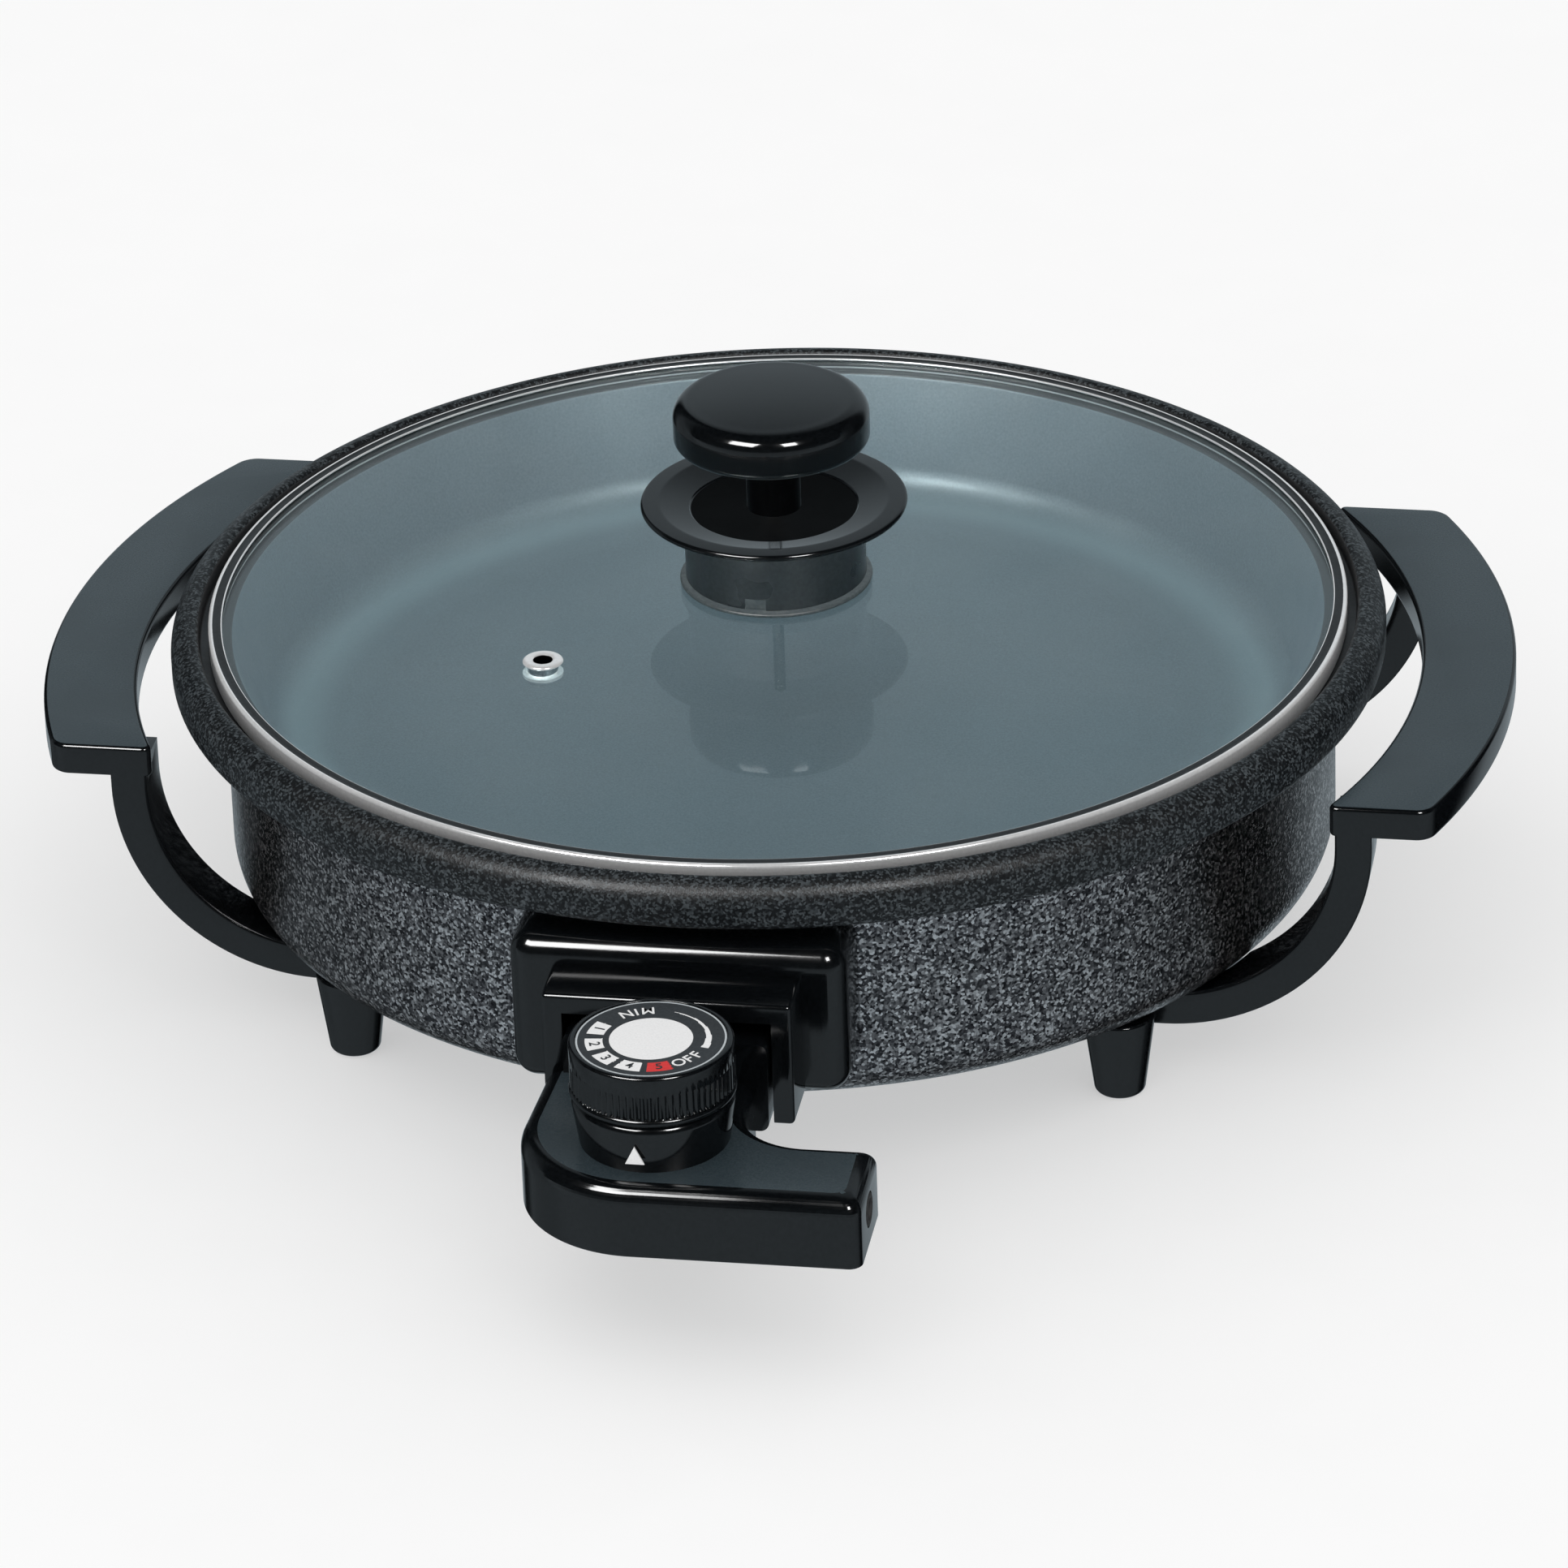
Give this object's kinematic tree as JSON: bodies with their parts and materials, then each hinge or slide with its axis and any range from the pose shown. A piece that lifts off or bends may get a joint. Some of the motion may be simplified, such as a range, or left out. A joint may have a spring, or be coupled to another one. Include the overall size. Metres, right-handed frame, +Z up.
{
  "type": "electric pan",
  "caption": "Round electric pan on feet with side handles, a lift-off domed glass lid with a knob, and a plug-in thermostat with a turning dial and a sensor probe.",
  "frame": {"origin": "centre of the footprint, on the surface that the pan stands on", "axes": "+Z up, handles on +X and -X, thermostat at the front on -Y"},
  "size_m": [0.49, 0.497, 0.1941],
  "materials": {
    "black_phenolic": "glossy moulded phenolic, black",
    "granite_coating": "cast aluminium with a speckled granite-effect coating outside and a matte teal-grey non-stick coating inside",
    "bright_steel": "polished stainless steel",
    "aluminised_sheet": "plain aluminised sheet",
    "zinc_plate": "zinc-plated steel",
    "nickel_brass": "nickel-plated brass",
    "white_ceramic": "unglazed white ceramic",
    "black_rubber": "matte black rubber",
    "element_sheath": "heat-darkened steel sheath",
    "clear_glass": "clear tempered glass",
    "dial_print": "printed dial face, dark grey with white and red marks",
    "white_mark": "white paint",
    "bimetal": "bimetal strip"
  },
  "bodies": {
    "pan": {"pan_body": "granite_coating", "bottom_cover": "aluminised_sheet", "heating_element": "element_sheath", "terminal_pin_left": "nickel_brass", "terminal_pin_right": "nickel_brass", "terminal_bead_left": "white_ceramic", "terminal_bead_right": "white_ceramic", "connector_block": "black_phenolic", "block_screw_left": "zinc_plate", "block_screw_right": "zinc_plate", "handle_left": "black_phenolic", "handle_right": "black_phenolic", "handle_screw_front_left": "zinc_plate", "handle_screw_front_right": "zinc_plate", "handle_screw_rear_left": "zinc_plate", "handle_screw_rear_right": "zinc_plate", "foot_front_left": "black_phenolic", "foot_front_right": "black_phenolic", "foot_rear_left": "black_phenolic", "foot_rear_right": "black_phenolic", "foot_screw_front_left": "zinc_plate", "foot_screw_front_right": "zinc_plate", "foot_screw_rear_left": "zinc_plate", "foot_screw_rear_right": "zinc_plate", "cover_screw_1": "zinc_plate", "cover_screw_2": "zinc_plate", "cover_screw_3": "zinc_plate"},
    "thermostat": {"thermostat_case": "black_phenolic", "thermostat_bottom": "black_phenolic", "case_screw_1": "zinc_plate", "case_screw_2": "zinc_plate", "case_screw_3": "zinc_plate", "sensor_probe": "bright_steel", "socket_contact_left": "nickel_brass", "socket_contact_right": "nickel_brass", "contact_carrier": "white_ceramic", "switch_plate": "zinc_plate", "bimetal_blade": "bimetal", "cord_bush": "black_rubber", "pointer_mark": "white_mark"},
    "dial": {"dial_knob": "black_phenolic", "dial_face_plate": "dial_print", "dial_spindle": "zinc_plate"},
    "lid": {"lid_glass": "clear_glass", "lid_rim_band": "bright_steel", "vent_grommet": "bright_steel", "knob_gasket": "black_rubber", "knob_guard": "black_phenolic", "knob_cap": "black_phenolic", "knob_washer": "bright_steel", "knob_screw": "bright_steel"}
  },
  "joints": [
    {"name": "lid_lift", "type": "slide", "parent": "pan", "child": "lid", "axis": [0, 0, 1], "range_m": [0, 0.2]},
    {"name": "thermostat_pull", "type": "slide", "parent": "pan", "child": "thermostat", "axis": [0, -1, 0], "range_m": [0, 0.16]},
    {"name": "dial_turn", "type": "hinge", "parent": "thermostat", "child": "dial", "pos_m": [0.003, -0.214, 0.0633], "axis": [0, 0, 1], "range_deg": [-55, 153]}
  ]
}
